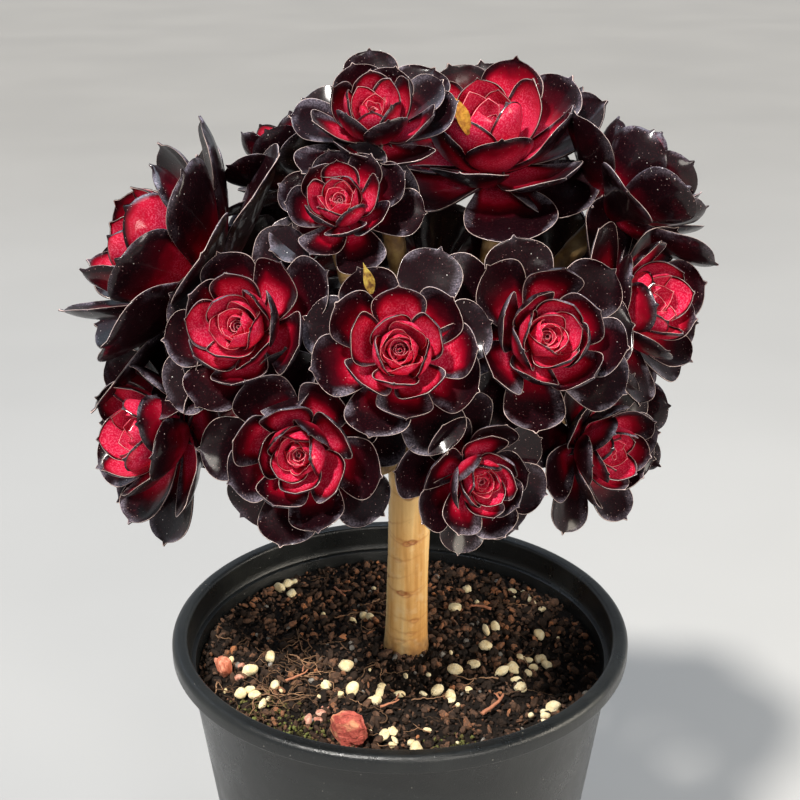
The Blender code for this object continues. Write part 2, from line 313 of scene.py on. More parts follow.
def leaf_material():
    """Crimson at the heart and at leaf bases, near black towards tips, with a fine pale edge."""
    s = Shader("aeonium_leaf", specular=0.05, coat=0.48, coat_roughness=0.14)
    s.out.inputs["Coat IOR"].default_value = 1.46
    along, age = s.value("along"), s.value("age")
    chance, back, rim = s.value("chance"), s.value("back"), s.value("rim")
    cloud = s.noise(0.009, 4.0)
    grain = s.noise(0.0007, 2.0)

    # A point is darker the older its leaf and the nearer the tip and the edges it lies.
    tone = s.plus(age, s.times(s.minus(along, 0.55), s.step(age, 0.26, 0.66, 0.10, 0.85)))
    tone = s.plus(tone, s.times(s.minus(chance, 0.5), 0.12))
    tone = s.plus(tone, s.times(s.minus(cloud, 0.5), 0.16))
    tone = s.plus(tone, s.times(back, s.step(age, 0.4, 0.7, 0.0, 0.10)))
    side = s.times(s.step(rim, 0.0060, 0.0005), s.step(age, 0.25, 0.70, 0.03, 0.25))
    tone = s.plus(tone, side)
    tone = s.plus(tone, s.step(rim, 0.0022, 0.0005, 0.0, 0.30))
    shade = s.step(tone, 0.46, 1.10)
    colour = s.ramp(shade, [
        (0.0, (0.64, 0.008, 0.055)),
        (0.20, (0.50, 0.004, 0.028)),
        (0.42, (0.21, 0.0016, 0.010)),
        (0.62, (0.050, 0.0014, 0.0048)),
        (0.86, (0.0075, 0.0016, 0.0028)),
    ])
    # Pink powder on the crimson, which also paints the pink highlight of lit leaves.
    powder_and_highlight = s.times(s.step(grain, 0.44, 0.66), s.step(shade, 0.42, 0.05, 0.0, 0.55))
    colour = s.mix(powder_and_highlight, colour, (0.86, 0.17, 0.27))
    frost = s.times(s.step(grain, 0.56, 0.72), s.step(shade, 0.3, 0.8, 0.0, 0.22))
    colour = s.mix(frost, colour, (0.13, 0.022, 0.030))

    # A painted lilac sheen that stands for the sky's reflection, in patches along the dark margins,
    # strongest where they face up.
    painted_sky_sheen = s.times(
        s.step(rim, 0.0052, 0.0004),
        s.step(shade, 0.35, 0.85, 0.0, 0.80),
        s.step(s.noise(0.012, 3.0), 0.43, 0.62),
        s.step(grain, 0.38, 0.62, 0.30, 1.0),
        s.step(s.facing_up(), 0.05, 0.85, 0.25, 1.0),
    )
    colour = s.mix(painted_sky_sheen, colour, (0.27, 0.235, 0.290))

    # Deep shade between the leaves of the heart, then fine dust and larger specks.
    inside = s.times(s.step(along, 0.70, 0.15), s.step(age, 0.70, 0.10, 0.08, 0.92))
    inside = s.math("MAXIMUM", inside, s.step(age, 0.20, 0.03, 0.0, 0.62))
    colour = s.mix(inside, colour, (0.10, 0.0010, 0.0070))
    fine_dust = s.times(s.specks(0.00125, 0.15, 0.40), s.step(shade, 0.2, 0.7, 0.15, 0.85))
    near_edge = s.step(rim, 0.011, 0.002, 0.25, 1.0)
    colour = s.mix(s.times(fine_dust, near_edge), colour, (0.62, 0.40, 0.38))
    dust = s.times(s.specks(0.0030, 0.095, 0.22), s.step(shade, 0.15, 0.6, 0.10, 0.75))
    colour = s.mix(dust, colour, (0.75, 0.70, 0.66))

    # The pale line along the edge of the upper sheet, fainter in places.
    line = s.times(
        s.step(s.minus(rim, s.times(s.noise(0.0011, 1.0), 0.00020)), 0.00011, 0.00001),
        s.step(s.noise(0.014, 2.0), 0.34, 0.60, 0.45, 0.95),
        s.step(back, 0.55, 0.15),
    )
    edge = s.mix(s.step(shade, 0.2, 0.8), (0.92, 0.50, 0.50), (0.68, 0.52, 0.47))
    colour = s.mix(line, colour, edge)
    roughness = s.plus(s.step(cloud, 0.3, 0.75, 0.34, 0.50), s.times(line, 0.3))
    swell, veins = s.noise(0.0065, 0.0), s.noise(0.0035, 2.0)
    return s.finish(colour, roughness, [(swell, 0.00030), (veins, 0.00016), (grain, 0.00004)])


def dry_leaf_material():
    """An old leaf dried to olive yellow, or to orange by its own value, browner in patches."""
    s = Shader("dry_leaf", specular=0.25)
    patch = s.noise(0.0026, 4.0, 0.6)
    colour = s.ramp(patch, [
        (0.34, (0.10, 0.045, 0.010)),
        (0.46, (0.26, 0.155, 0.025)),
        (0.60, (0.38, 0.28, 0.055)),
        (0.75, (0.48, 0.37, 0.11)),
    ])
    orange = s.mix(s.step(patch, 0.35, 0.65), (0.30, 0.10, 0.012), (0.56, 0.26, 0.030))
    colour = s.mix(s.value("orange"), colour, orange)
    return s.finish(colour, s.step(patch, 0.3, 0.7, 0.55, 0.8), [(s.noise(0.0010, 3.0), 0.0003)])


def bark_material():
    """Golden tan bark with soft upright streaks, darker rings and red-brown leaf scars."""
    s = Shader("pale_bark", specular=0.35)
    streak = s.noise(0.0085, 3.0, 0.55, stretch=(1.0, 1.0, 0.06))
    mottle = s.noise(0.006, 4.0)
    fine = s.noise(0.0007, 3.0)
    scar, ridge, young, foot_share = s.value("scar"), s.value("ridge"), s.value("young"), s.value("foot_share")
    colour = s.ramp(streak, [
        (0.32, (0.46, 0.200, 0.042)),
        (0.44, (0.68, 0.360, 0.110)),
        (0.54, (0.84, 0.530, 0.205)),
        (0.70, (0.92, 0.680, 0.340)),
    ])
    colour = s.mix(s.step(mottle, 0.50, 0.75, 0.0, 0.35), colour, (0.86, 0.66, 0.38))
    specks = s.times(s.specks(0.0035, 0.10, 0.30), 0.45)
    colour = s.mix(specks, colour, (0.42, 0.20, 0.075))
    colour = s.mix(s.times(ridge, 0.60), colour, (0.46, 0.18, 0.050))
    colour = s.mix(scar, colour, (0.27, 0.062, 0.018))
    # Darker and browner in mottled patches towards the stem's foot.
    foot_darkening = s.times(foot_share, s.step(mottle, 0.25, 0.65, 0.35, 1.0))
    colour = s.mix(foot_darkening, colour, (0.23, 0.110, 0.040))
    old = s.ramp(mottle, [(0.3, (0.13, 0.065, 0.022)), (0.7, (0.32, 0.185, 0.060))])
    colour = s.mix(young, colour, old)
    return s.finish(colour, s.step(fine, 0.3, 0.7, 0.45, 0.62), [(streak, 0.0005), (fine, 0.00010)])


def branch_material():
    """Olive-brown young wood with pale leaf scars."""
    s = Shader("young_wood", specular=0.35)
    patch = s.noise(0.006, 4.0)
    fine = s.noise(0.0009, 3.0)
    scar = s.value("scar")
    colour = s.ramp(patch, [
        (0.30, (0.075, 0.035, 0.012)),
        (0.50, (0.20, 0.105, 0.035)),
        (0.72, (0.36, 0.23, 0.075)),
    ])
    colour = s.mix(s.times(scar, 0.7), colour, (0.50, 0.34, 0.17))
    return s.finish(colour, s.step(fine, 0.3, 0.7, 0.45, 0.7), [(patch, 0.0008), (fine, 0.00015)])


def pot_material():
    """Satin black moulded plastic with a fine grain, a faint film of dust, grit specks and light
    dots of painted sparkle.
    """
    s = Shader("pot_plastic", specular=0.5)
    film = s.noise(0.030, 5.0, 0.65)
    fine = s.noise(0.00055, 2.0)
    dusty = s.step(film, 0.42, 0.80, 0.0, 0.5)
    colour = s.mix(dusty, (0.0070, 0.0082, 0.0085), (0.022, 0.024, 0.022))
    grit = s.times(s.specks(0.0042, 0.085, 0.35), 0.55)
    colour = s.mix(grit, colour, (0.36, 0.34, 0.30))
    # Light grey dots: partly a fine grain, partly a painted sparkle of highlights.
    dots = s.times(s.specks(0.0012, 0.15, 0.30), 0.42)
    colour = s.mix(dots, colour, (0.20, 0.21, 0.21))
    roughness = s.plus(s.step(film, 0.3, 0.75, 0.25, 0.40), s.times(grit, 0.3))
    return s.finish(colour, roughness, [(s.noise(0.012, 2.0), 0.00020), (fine, 0.00016)])


def soil_material(name, stops):
    """Rough bark and peat crumbs, each with its own tone."""
    s = Shader(name, specular=0.25)
    fine = s.noise(0.0011, 4.0)
    tone = s.plus(s.value("chance"), s.times(s.minus(fine, 0.5), 0.5))
    colour = s.ramp(tone, stops)
    return s.finish(colour, s.step(fine, 0.3, 0.7, 0.75, 0.95), [(fine, 0.0004)])


def grain_material(name, dark, pale, pit=0.0010, stretch=(1, 1, 1)):
    """A mineral grain: two tones, with pits darkened by painted shade."""
    s = Shader(name, specular=0.3)
    patch = s.noise(0.0035, 4.0, 0.65, stretch)
    pits = s.noise(pit, 3.0, 0.6, stretch)
    colour = s.mix(s.step(patch, 0.35, 0.68), dark, pale)
    # Painted shade in the pits.
    colour = s.mix(s.step(pits, 0.42, 0.28, 0.0, 0.6), colour, tuple(c * 0.35 for c in dark))
    return s.finish(colour, s.step(pits, 0.3, 0.7, 0.75, 0.95), [(pits, 0.0006)])


def lava_material():
    """Weathered red lava: rose layers, peach patches and pits darkened by painted shade."""
    s = Shader("lava_red", specular=0.3)
    layer = s.noise(0.0042, 5.0, 0.72, stretch=(0.5, 0.6, 2.2))
    patch = s.noise(0.010, 2.0)
    pits = s.noise(0.0012, 3.0, 0.6)
    colour = s.ramp(layer, [
        (0.30, (0.20, 0.030, 0.022)),
        (0.45, (0.46, 0.085, 0.062)),
        (0.58, (0.66, 0.150, 0.110)),
        (0.75, (0.76, 0.260, 0.185)),
    ])
    colour = s.mix(s.step(patch, 0.49, 0.60, 0.0, 0.85), colour, (0.84, 0.38, 0.20))
    # Painted shade in the pits.
    colour = s.mix(s.step(pits, 0.42, 0.28, 0.0, 0.7), colour, (0.10, 0.018, 0.014))
    return s.finish(colour, s.step(pits, 0.3, 0.7, 0.7, 0.9), [(layer, 0.0022), (pits, 0.0009)])


# ---- leaves

# A leaf's rows, along its length: closer together towards the tip.
LEAF_TIP = 1.045
LEAF_ROWS = LEAF_TIP * (1 - (1 - np.linspace(0, 1, 22)) ** 1.7)
LEAF_COLUMNS = 15
LEAVES = 37
HEART_HEIGHT = 0.46  # the rosette's middle above its branch's tip, in rosette radii

# By age, from the heart (0) to the outside (1): the angle off the rosette's axis at the
# leaf's base and at its tip, in degrees, and its length in rosette radii.
AGES = [0.0, 0.15, 0.30, 0.45, 0.60, 0.75, 0.88, 1.0]
BASE_ANGLES = [6, 28, 46, 58, 66, 74, 80, 86]
LENGTHS = [0.15, 0.27, 0.52, 0.74, 0.89, 0.99, 1.09, 1.17]
TIP_ANGLES = [-6, -14, -26, -22, 0, 31, 61, 88]


def mature_width(t):
    """Half-width of a grown leaf along its length: a spoon with a small point at its tip."""
    stalk = 0.42 + 0.58 * np.sin(np.clip(t / 0.76, 0, 1) * math.pi / 2) ** 1.7
    spoon = np.clip(1 - np.clip((t - 0.76) / 0.245, 0, 1) ** 2.1, 0, 1) ** 0.5
    point = 0.19 * np.clip((LEAF_TIP - t) / 0.085, 0, 1)
    return np.maximum(stalk * spoon, point) + 0.008


def young_width(t):
    """Half-width of a young leaf, which tapers to a point."""
    stalk = 0.50 + 0.50 * np.sin(np.clip(t / 0.52, 0, 1) * math.pi / 2)
    return stalk * (1 - np.clip((t - 0.45) / (LEAF_TIP - 0.45), 0, 1) ** 1.7) + 0.008


def leaf_faces():
    """The faces of one leaf: an upper and a lower sheet joined all round."""
    rows, columns = len(LEAF_ROWS), LEAF_COLUMNS
    count = rows * columns
    upper = grid_faces(rows, columns)
    lower = upper[:, ::-1] + count
    index = np.arange(count).reshape(rows, columns)
    round_edge = np.concatenate(
        [index[0, :], index[1:, -1], index[-1, -2::-1], index[-2:0:-1, 0]]
    )
    following = np.roll(round_edge, -1)
    strip = np.stack([following, round_edge, round_edge + count, following + count], axis=-1)
    return np.concatenate([upper, lower, strip])


def leaves(radius, rng, ages, first_turn):
    """Leaf vertices round +Z, shape (leaves, sheets, rows, columns, 3), and their values."""
    count = len(ages)
    age = ages[:, None]
    reach = np.interp(ages, AGES, LENGTHS)[:, None]
    length = radius * reach * rng.uniform(0.92, 1.07, (count, 1))
    half = radius * (0.12 + 0.26 * age**0.55 + 0.03 * age**6) * rng.uniform(0.94, 1.06, (count, 1))
    base_z = radius * (-0.08 - 0.38 * age)
    base_r = radius * (0.012 + 0.085 * age)
    base_angle = np.interp(ages, AGES, BASE_ANGLES)[:, None] + rng.normal(0, 2.8, (count, 1))
    tip_angle = np.interp(ages, AGES, TIP_ANGLES)[:, None]
    tip_angle = tip_angle + rng.normal(0, 1.0, (count, 1)) * (4 + 7 * age)
    ease = LEAF_ROWS / LEAF_ROWS[-1]
    angle = np.radians(base_angle + (tip_angle - base_angle) * ease**1.15)
    step = np.diff(LEAF_ROWS, prepend=0.0) * length
    mid = np.hstack([angle[:, :1], (angle[:, 1:] + angle[:, :-1]) / 2])
    r = np.maximum(base_r + np.cumsum(np.sin(mid) * step, axis=1), radius * 0.012)
    z = base_z + np.cumsum(np.cos(mid) * step, axis=1)
    mature = np.clip((age - 0.30) / 0.35, 0, 1)
    width = half * (young_width(LEAF_ROWS) * (1 - mature) + mature_width(LEAF_ROWS) * mature)
    across = np.sin(np.linspace(-1, 1, LEAF_COLUMNS) * math.pi / 2)

    # Across, a leaf bends round the axis: tightly near the heart, slackly outside.
    # A young leaf is folded along its middle, too.
    bend = np.clip(width / (1.12 * r), 0.30 + 0.35 * (1 - age), 1.40)
    arc = bend[..., None] * across
    sideways = (width / bend)[..., None] * np.sin(arc)
    lift = (width / bend)[..., None] * (1 - np.cos(arc))
    folded = lift[..., :1] * np.abs(sideways) / np.abs(sideways[..., :1])
    lift = lift + (folded - lift) * (0.80 - 0.62 * mature)[..., None]
    tilt = rng.normal(0, 0.10, (count, 1, 1)) * age[..., None]
    wave = radius * 0.016 * np.sin(LEAF_ROWS * 7 + rng.uniform(0, 6, (count, 1)))
    lift = lift + sideways * tilt + wave[..., None] * age[..., None] * np.abs(across) ** 3

    n_r, n_z = -np.cos(angle)[..., None], np.sin(angle)[..., None]
    plump = (0.020 + 0.035 * (1 - np.abs(across) ** 2.5)) * radius
    taper = np.interp(LEAF_ROWS, [0, 0.5, 0.9, 1.05], [1.25, 1.0, 0.6, 0.2])
    thick = plump * taper[:, None] * (0.55 + 0.45 * age[..., None])
    thick = np.where(np.abs(across) > 0.999, 0.009 * radius, thick)

    turn = first_turn + GOLDEN_ANGLE * np.arange(count) + rng.normal(0, 0.10, count)
    cos, sin = np.cos(turn)[:, None, None], np.sin(turn)[:, None, None]
    sheets = []
    for depth in (0.0, 1.0):
        out = r[..., None] + lift * n_r - depth * thick * np.cos(arc) * n_r
        side = sideways + depth * thick * np.sin(arc)
        up = z[..., None] + lift * n_z - depth * thick * np.cos(arc) * n_z
        sheets.append(np.stack([out * cos - side * sin, out * sin + side * cos, up], axis=-1))
    verts = np.stack(sheets, axis=1)

    to_side = width[..., None] * (1 - np.abs(across))
    to_tip = ((LEAF_ROWS[-1] - LEAF_ROWS) * length)[..., None]
    values = {
        "along": np.minimum(LEAF_ROWS, 1.0)[:, None],
        "age": ages[:, None, None, None],
        "chance": rng.random(count)[:, None, None, None],
        "back": np.array([0.0, 1.0])[:, None, None],
        "rim": np.minimum(to_side, to_tip)[:, None],
    }
    shape = verts.shape[:-1]
    return verts, {key: np.broadcast_to(value, shape) for key, value in values.items()}


def rosette_places():
    """Each rosette's middle, facing, radius, branch root and tip, read from the frame."""
    heights, radii, offsets = turned_outline("main_stem")
    widest = np.argmax(radii)
    fork = np.array([offsets[widest], 0.0, heights[widest]])
    places = {}
    for name in ROSETTE_NAMES:
        solid = node_points(name)
        branch = node_points(name.replace("rosette", "branch"))
        tip, way, neck = end_disc(branch, solid.mean(axis=0))
        root, root_way, foot = end_disc(branch, fork)
        offset = solid - tip
        radial = offset - np.outer(offset @ way, way)
        size = float(np.linalg.norm(radial, axis=1).max())
        places[name] = {
            "tip": tip, "way": way, "neck": neck, "root": root, "root_way": -root_way,
            "foot": foot, "radius": size, "middle": tip + way * HEART_HEIGHT * size,
        }
    return places


def turn_to(way):
    """The rotation that takes +Z to a direction, as a 3 by 3 array."""
    return np.array(Vector(way).to_track_quat("Z", "Y").to_matrix())


# One more outer leaf on some rosettes: the way it points, its age and its size.
MORE_LEAVES = {"rosette_04": (0.58, 0.0, -0.81)}
MORE_LEAF_AGE = 0.97
MORE_LEAF_SIZE = 0.92  # over the other leaves' size


def make_rosettes(places, material):
    """All the leaves of each rosette as one piece, from the heart outwards."""
    faces = leaf_faces()
    ages = np.linspace(0, 1, LEAVES)
    for number, (name, place) in enumerate(places.items(), 1):
        rng = np.random.default_rng(100 + number)
        verts, values = leaves(place["radius"], rng, ages, number * 1.3)
        values["age"] = values["age"] + rng.uniform(-0.07, 0.04)
        if name in MORE_LEAVES:
            x, y, _ = turn_to(place["way"]).T @ MORE_LEAVES[name]
            size, age = place["radius"] * MORE_LEAF_SIZE, np.array([MORE_LEAF_AGE])
            more, more_values = leaves(size, rng, age, math.atan2(y, x))
            verts = np.concatenate([verts, more])
            values = {key: np.concatenate([values[key], more_values[key]]) for key in values}
        all_faces = copied_faces(faces, len(verts), verts[0].size // 3)
        world = verts.reshape(-1, 3) @ turn_to(place["way"]).T + place["middle"]
        settle(make_object(f"leaves_{name}", world, all_faces, material, values), "leaf", name)


# Dried leaves: rosette, foot and tip in millimetres right of and up from the rosette's
# middle as seen from the front, how far out along its facing they stand, the width, and
# how orange they are.
DRY_LEAVES = [
    ("rosette_07", (-10.5, 20.5), (-13.5, 31.5), 5.5, 0.0043, 0.0),
    ("rosette_04", (-4.5, -29.0), (-11.5, -14.0), 34.0, 0.0060, 0.9),
]
VIEW_UP = np.array([0.0, 0.36, 0.93])
DRY_FACE = (0.15, -0.93, 0.34)  # the way the dried leaves face
DRY_THICKNESS = 0.00045


def make_dry_leaves(places, material):
    """Small shrivelled leaves, each folded along its middle and bent from its foot to its tip."""
    t = (LEAF_ROWS / LEAF_ROWS[-1])[:, None]
    across = np.sin(np.linspace(-1, 1, LEAF_COLUMNS) * math.pi / 2)[None]
    for number, (name, foot, tip, out, width, orange) in enumerate(DRY_LEAVES, 1):
        place = places[name]
        start = place["middle"] + place["way"] * out / 1000
        foot, tip = (
            start + np.array([x / 1000, 0, 0]) + VIEW_UP * y / 1000 for x, y in (foot, tip)
        )
        tip = tip + place["way"] * 0.003
        length = np.linalg.norm(tip - foot)
        way = (tip - foot) / length
        side = np.cross(way, DRY_FACE)
        side /= np.linalg.norm(side)
        face = np.cross(side, way)
        half = width / 2 * (0.22 + 0.78 * np.sin(math.pi * t**0.85)) * (1 - t**4)
        fold = 0.55 * half * np.abs(across) + 0.16 * length * np.sin(math.pi * t)
        upper = foot + (tip - foot) * t[..., None] + side * (half * across)[..., None]
        sheets = [upper + face * (fold - depth)[..., None] for depth in (0.0, DRY_THICKNESS)]
        verts = np.stack(sheets).reshape(-1, 3)
        verts = verts + face * (0.0005 * lumps(verts, 0.0025, number))[:, None]
        values = {"orange": np.full(len(verts), orange)}
        settle(make_object(f"dry_leaf_{number}", verts, leaf_faces(), material, values), "leaf")


# ---- wood

# Leaf scars on the stem: millimetres above the soil's edge, azimuth in degrees and strength.
# Each lies at the low point of a faint ring.
SCARS = [
    (90, -95, 0.9), (67, -80, 1.0), (66, -95, 0.8), (40, -106, 1.0), (39, -94, 0.6),
    (25, -68, 0.5), (18, -78, 0.30), (14, -104, 0.25), (57, -122, 0.25), (80, 40, 0.9),
    (54, 128, 1.0), (30, 36, 0.8), (74, 175, 0.8), (46, -170, 0.7), (22, 140, 0.5),
]
SCAR_SIZE = (0.0023, 0.0012)  # half-width and half-height
SCARRED_RADIUS = 0.0103  # of the stem, where the scars are
YOUNG_TOP = 0.043  # how far down from its top the stem has young wood
BRANCH_ROWS = 46
BRANCH_SIDES = 14
BRANCH_PULL = 0.38  # how far its ends' ways shape a branch, over its length


def make_stem(soil_edge, material):
    """The stem on the CAD node's outline, with bumps, faint rings and leaf scars."""
    heights, radii, offsets = turned_outline("main_stem")
    low, high = soil_edge - 0.004, heights[-1]
    rows, sides = 300, 120
    z = np.linspace(low, high, rows)
    turn = round_turn(sides)
    r = np.interp(z, heights, radii)
    r[-1] = 0.0002
    zz, tt = np.meshgrid(z, turn, indexing="ij")
    rr = np.repeat(r[:, None], sides, axis=1)
    shift = np.repeat(np.interp(z, heights, offsets)[:, None], sides, axis=1)
    points = polar(rr, tt, zz)
    bumps = lumps(points * (1, 1, 0.30), 0.008, 3).reshape(zz.shape)
    rough = lumps(points, 0.0022, 5).reshape(zz.shape)
    ridge, scar, pith = np.zeros_like(zz), np.zeros_like(zz), np.zeros_like(zz)
    for height, azimuth, strength in SCARS:
        gap = (tt - math.radians(azimuth) + math.pi) % math.tau - math.pi
        above = zz - soil_edge - height / 1000
        ring = above - 0.0042 * (1 - np.cos(gap)) + 0.0005 * rough
        line = np.exp(-((ring / 0.00055) ** 2)) * np.exp(-((gap / 1.3) ** 2))
        ridge = np.maximum(ridge, line * (0.45 + 0.55 * strength))
        x = gap * SCARRED_RADIUS / SCAR_SIZE[0]
        away = np.sqrt(x**2 + (above / SCAR_SIZE[1] * (1 + 0.25 * x**2)) ** 2) + 0.15 * rough
        eye = np.exp(-(((away - 0.95) / 0.34) ** 2)) * 0.80 + np.exp(-((away / 0.35) ** 2)) * 0.7
        scar = np.maximum(scar, eye * strength)
        pith = np.maximum(pith, np.clip(1 - away, 0, 1) * strength)
    young = np.clip((zz - (high - YOUNG_TOP)) / 0.014 + 0.25 * bumps, 0, 1)
    # A share that grows towards the stem's foot, where the bark is made darker and browner.
    foot_share = np.clip((soil_edge + 0.0155 - zz) / 0.009 + 0.35 * rough, 0, 1)
    knobs = lumps(points, 0.011, 8).reshape(zz.shape) * young
    grow = 0.00040 * bumps + 0.00010 * rough - 0.00022 * ridge + 0.0002 * scar - 0.0005 * pith
    rr = rr + (grow + 0.0018 * knobs) * np.clip(rr / 0.004, 0, 1)
    verts = polar(rr, tt, zz)
    verts[:, 0] += shift.ravel()
    values = {"scar": np.clip(scar, 0, 1), "ridge": ridge, "young": young, "foot_share": foot_share}
    ob = make_object("stem_bark", verts, capped_faces(rows, sides), material, values)
    settle(ob, "bark", "main_stem")


def make_branches(places, material):
    """Each branch as a bent tube from its root on the stem to its rosette."""
    for number, (name, place) in enumerate(places.items(), 1):
        a, d = place["root"], place["tip"]
        pull = np.linalg.norm(d - a) * BRANCH_PULL
        b, c = a + place["root_way"] * pull, d - place["way"] * pull
        t = np.linspace(0, 1, BRANCH_ROWS)[:, None]
        path = a * (1 - t) ** 3 + 3 * b * t * (1 - t) ** 2 + 3 * c * t * t * (1 - t) + d * t**3
        start, end = a - place["root_way"] * 0.004, d + place["way"] * 0.003
        path = np.concatenate([[start], path, [end]])
        s = np.linspace(0, 1, len(path))
        radii = place["foot"] + (place["neck"] - place["foot"]) * s**2
        radii = radii + 0.0016 * np.exp(-s * 14) + 0.0004 * np.exp(-((s - 1) / 0.12) ** 2)
        beat = np.sin(s * 34 + number)
        verts, faces = tube(path, radii + 0.00022 * beat, BRANCH_SIDES)
        rough = lumps(verts, 0.004, number)
        middle = np.repeat(path, BRANCH_SIDES, axis=0)
        verts = verts + (verts - middle) * (rough * 0.10)[:, None]
        scar = np.repeat(np.clip(beat, 0, 1) ** 3, BRANCH_SIDES) * np.clip(0.6 + rough, 0, 1)
        node = name.replace("rosette", "branch")
        piece = make_object(f"wood_{node}", verts, faces, material, {"scar": scar})
        settle(piece, "green_wood", node)


# ---- pot

RIM_WIDTH = 0.0075
RIM_DEPTH = 0.0082
LEDGE_BELOW_RIM = 0.0140
BODY_TOP_RADIUS = 0.1030
WALL = 0.0030
FLOOR_THICKNESS = 0.0030
SOIL_BELOW_RIM = 0.030  # the soil's top is nowhere deeper than this
POT_SIDES = 192
DRAIN_SLOTS = 8
DRAIN_SLOT_SIZE = (0.016, 0.014, 0.010)


def make_pot(material):
    """The pot, turned from its outline, with the drain slots cut out at its foot."""
    low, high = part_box("pot")
    rim, top = (high[0] - low[0]) / 2, high[2]
    points = node_points("pot")
    base = float(np.hypot(*points[np.abs(points[:, 2] - 0.0015) < 1e-4][:, :2].T).max())
    lip, ledge, inner = top - RIM_DEPTH, top - LEDGE_BELOW_RIM, rim - RIM_WIDTH

    def wall(z):
        return base + (BODY_TOP_RADIUS - base) * z / lip

    def bead(middle_r, middle_z, size, start, stop, steps):
        angles = np.radians(np.linspace(start, stop, steps))
        return [(middle_r + size * math.cos(a), middle_z + size * math.sin(a)) for a in angles]

    profile = [(0.0, 0.0), (base - 0.004, 0.0)]
    profile += bead(base - 0.0020, 0.0020, 0.0020, -90, 5, 6)
    profile += [(wall(z), z) for z in np.linspace(0.006, lip - 0.0015, 14)]
    profile += [(BODY_TOP_RADIUS + 0.0002, lip - 0.0002), (BODY_TOP_RADIUS + 0.0012, lip)]
    profile += bead(rim - 0.0012, lip + 0.0012, 0.0012, -90, 0, 6)
    profile += bead(rim - 0.0030, top - 0.0030, 0.0030, 0, 90, 9)
    profile += bead(inner + 0.0020, top - 0.0020, 0.0020, 90, 180, 7)
    profile += [(inner - 0.0003, ledge + 0.004), (inner - 0.0006, ledge + 0.0009)]
    profile += [(inner - 0.0010, ledge + 0.0003), (wall(ledge) - WALL + 0.0007, ledge)]
    profile += [(wall(ledge) - WALL + 0.0002, ledge - 0.0003), (wall(ledge) - WALL, ledge - 0.0012)]
    profile += [(wall(z) - WALL, z) for z in np.linspace(ledge - 0.004, FLOOR_THICKNESS, 12)]
    profile += [(0.0, FLOOR_THICKNESS)]
    bm = bmesh.new()
    corners = [bm.verts.new((r, 0.0, z)) for r, z in profile]
    edges = [bm.edges.new(pair) for pair in zip(corners, corners[1:])]
    bmesh.ops.spin(
        bm, geom=corners + edges, cent=(0, 0, 0), axis=(0, 0, 1),
        angle=math.tau, steps=POT_SIDES, use_merge=True,
    )
    bmesh.ops.remove_doubles(bm, verts=bm.verts, dist=1e-6)
    bmesh.ops.recalc_face_normals(bm, faces=bm.faces)
    pot = link("pot_shell", mesh_of("pot_shell", bm))
    pot.data.materials.append(material)

    slots = bmesh.new()
    for k in range(DRAIN_SLOTS):
        turn = Matrix.Rotation(math.tau * (k + 0.5) / DRAIN_SLOTS, 4, "Z")
        place = Matrix.Translation((base - 0.001, 0.0, DRAIN_SLOT_SIZE[2] / 2 - 0.002))
        size = Matrix.Diagonal((*DRAIN_SLOT_SIZE, 1.0))
        bmesh.ops.create_cube(slots, size=1.0, matrix=turn @ place @ size)
    cutter = link("slots", mesh_of("slots", slots))
    cut = pot.modifiers.new("cut", "BOOLEAN")
    cut.operation = "DIFFERENCE"
    cut.object = cutter
    done = bpy.data.meshes.new_from_object(pot.evaluated_get(bpy.context.evaluated_depsgraph_get()))
    pot.modifiers.clear()
    pot.data = done
    done.name = "pot_shell"
    bpy.data.objects.remove(cutter)
    done.shade_smooth()
    done.set_sharp_from_angle(angle=math.radians(35))
    settle(pot, "pot", "pot")


# ---- soil and what lies on it

def soil_surface(points):
    """Height of the packed soil above its edge level, as a function of x and y."""
    r = np.hypot(points[:, 0], points[:, 1])
    a = np.arctan2(points[:, 1], points[:, 0])
    return 0.0065 * np.exp(-((r / 0.042) ** 2)) + 0.0008 * np.sin(3 * a + 0.8) * np.sin(r / 0.016)


def ground(x, y, soil_edge):
    """The soil's height at one place."""
    return soil_edge + float(soil_surface(np.array([[x, y]]))[0])


def make_soil_bed(soil_edge, radius, material):
    """The closed body of the soil, down to the foot of its CAD node."""
    rings, sides = 92, 220
    r = radius * np.linspace(0, 1, rings) ** 0.9
    r[0] = 0.0005
    turn = round_turn(sides)
    rr, tt = np.meshgrid(r, turn, indexing="ij")
    flat = polar(rr, tt, 0 * rr)
    rise = soil_surface(flat)
    rise += 0.0011 * np.abs(lumps(flat, 0.0045, 1)) + 0.0008 * lumps(flat, 0.0021, 2)
    rise += 0.0010 * lumps(flat, 0.014, 4) - 0.0012
    top = flat + np.stack([0 * rise, 0 * rise, soil_edge + rise], axis=-1)
    low = float(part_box("soil")[0][2])
    bottom_r = float(turned_outline("soil")[1][0])
    verts = np.concatenate([top, polar(bottom_r, turn, 0 * turn + low)])
    faces = [face[::-1] for face in capped_faces(rings + 1, sides)]
    chance = np.clip(0.30 + 0.35 * lumps(verts, 0.004, 9), 0, 1)
    settle(make_object("soil_bed", verts, faces, material, {"chance": chance}), "soil", "soil")


def ball(level):
    """Vertices and faces of a unit ball of triangles."""
    bm = bmesh.new()
    bmesh.ops.create_icosphere(bm, subdivisions=level, radius=1.0)
    verts = np.array([vert.co for vert in bm.verts])
    faces = np.array([[vert.index for vert in face.verts] for face in bm.faces])
    bm.free()
    return verts, faces


